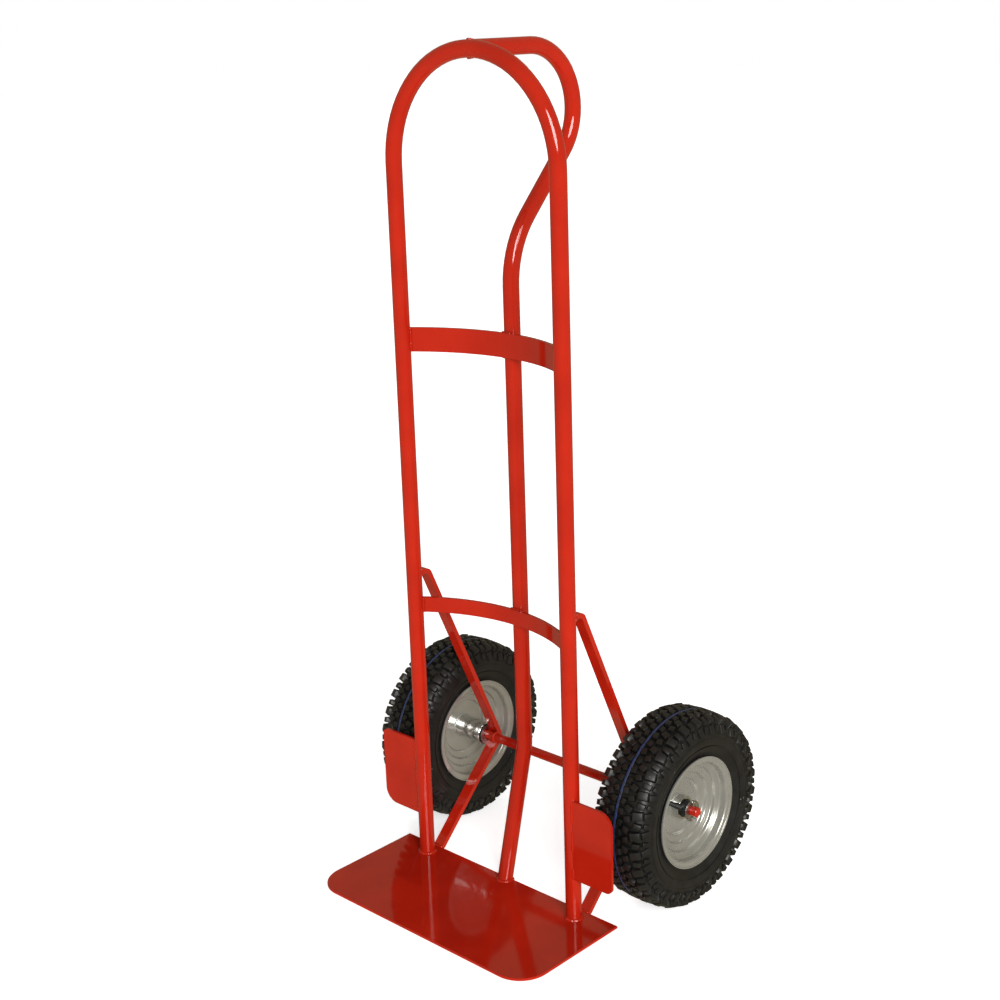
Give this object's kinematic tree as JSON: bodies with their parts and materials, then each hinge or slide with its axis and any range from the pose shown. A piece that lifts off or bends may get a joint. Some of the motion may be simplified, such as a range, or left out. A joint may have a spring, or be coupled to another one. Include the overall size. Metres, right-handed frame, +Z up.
{
  "type": "hand truck",
  "caption": "Upright tubular steel hand truck with a rounded hoop frame, a looped rear grip, a flat toe plate, bowed cross straps and pneumatic wheels on a straight axle.",
  "frame": {"origin": "on the toe plate's underside, midway between the rails and in the plane of the rails' axes", "axes": "+Z up, -Y forwards over the toe plate, +Y back towards the wheels and the grip, +X along the axle"},
  "size_m": [0.576, 0.5188, 1.3377],
  "materials": {
    "red_enamel": "glossy red enamel over tube and bar",
    "plate_enamel": "glossy red enamel on flat plate",
    "axle_enamel": "red enamel on the axle bar",
    "tyre_rubber": "matt black moulded rubber",
    "tube_rubber": "black butyl rubber",
    "valve_rubber": "black rubber and plastic",
    "rim_silver": "silver painted pressed steel",
    "hub_zinc": "bright zinc plated tube",
    "bush_nylon": "black nylon",
    "zinc_hardware": "zinc plated hardware"
  },
  "bodies": {
    "frame": {"axle": "axle_enamel", "centre_tube": "red_enamel", "left_brace": "red_enamel", "left_guard": "red_enamel", "left_inner_washer": "zinc_hardware", "left_outer_washer": "zinc_hardware", "left_split_pin": "zinc_hardware", "lower_strap": "red_enamel", "main_hoop": "red_enamel", "right_brace": "red_enamel", "right_guard": "red_enamel", "right_inner_washer": "zinc_hardware", "right_outer_washer": "zinc_hardware", "right_split_pin": "zinc_hardware", "toe_plate": "plate_enamel", "upper_strap": "red_enamel"},
    "left_wheel": {"left_hub": "hub_zinc", "left_inner_bush": "bush_nylon", "left_inner_tube": "tube_rubber", "left_outer_bush": "bush_nylon", "left_rim_inner": "rim_silver", "left_rim_outer": "rim_silver", "left_tyre": "tyre_rubber", "left_valve_cap": "valve_rubber", "left_valve_stem": "valve_rubber"},
    "right_wheel": {"right_hub": "hub_zinc", "right_inner_bush": "bush_nylon", "right_inner_tube": "tube_rubber", "right_outer_bush": "bush_nylon", "right_rim_inner": "rim_silver", "right_rim_outer": "rim_silver", "right_tyre": "tyre_rubber", "right_valve_cap": "valve_rubber", "right_valve_stem": "valve_rubber"}
  },
  "joints": [
    {"name": "left_wheel_spin", "type": "hinge", "parent": "frame", "child": "left_wheel", "pos_m": [-0.24, 0.1663, 0.159], "axis": [1, 0, 0], "continuous": true},
    {"name": "right_wheel_spin", "type": "hinge", "parent": "frame", "child": "right_wheel", "pos_m": [0.24, 0.1663, 0.159], "axis": [1, 0, 0], "continuous": true}
  ]
}
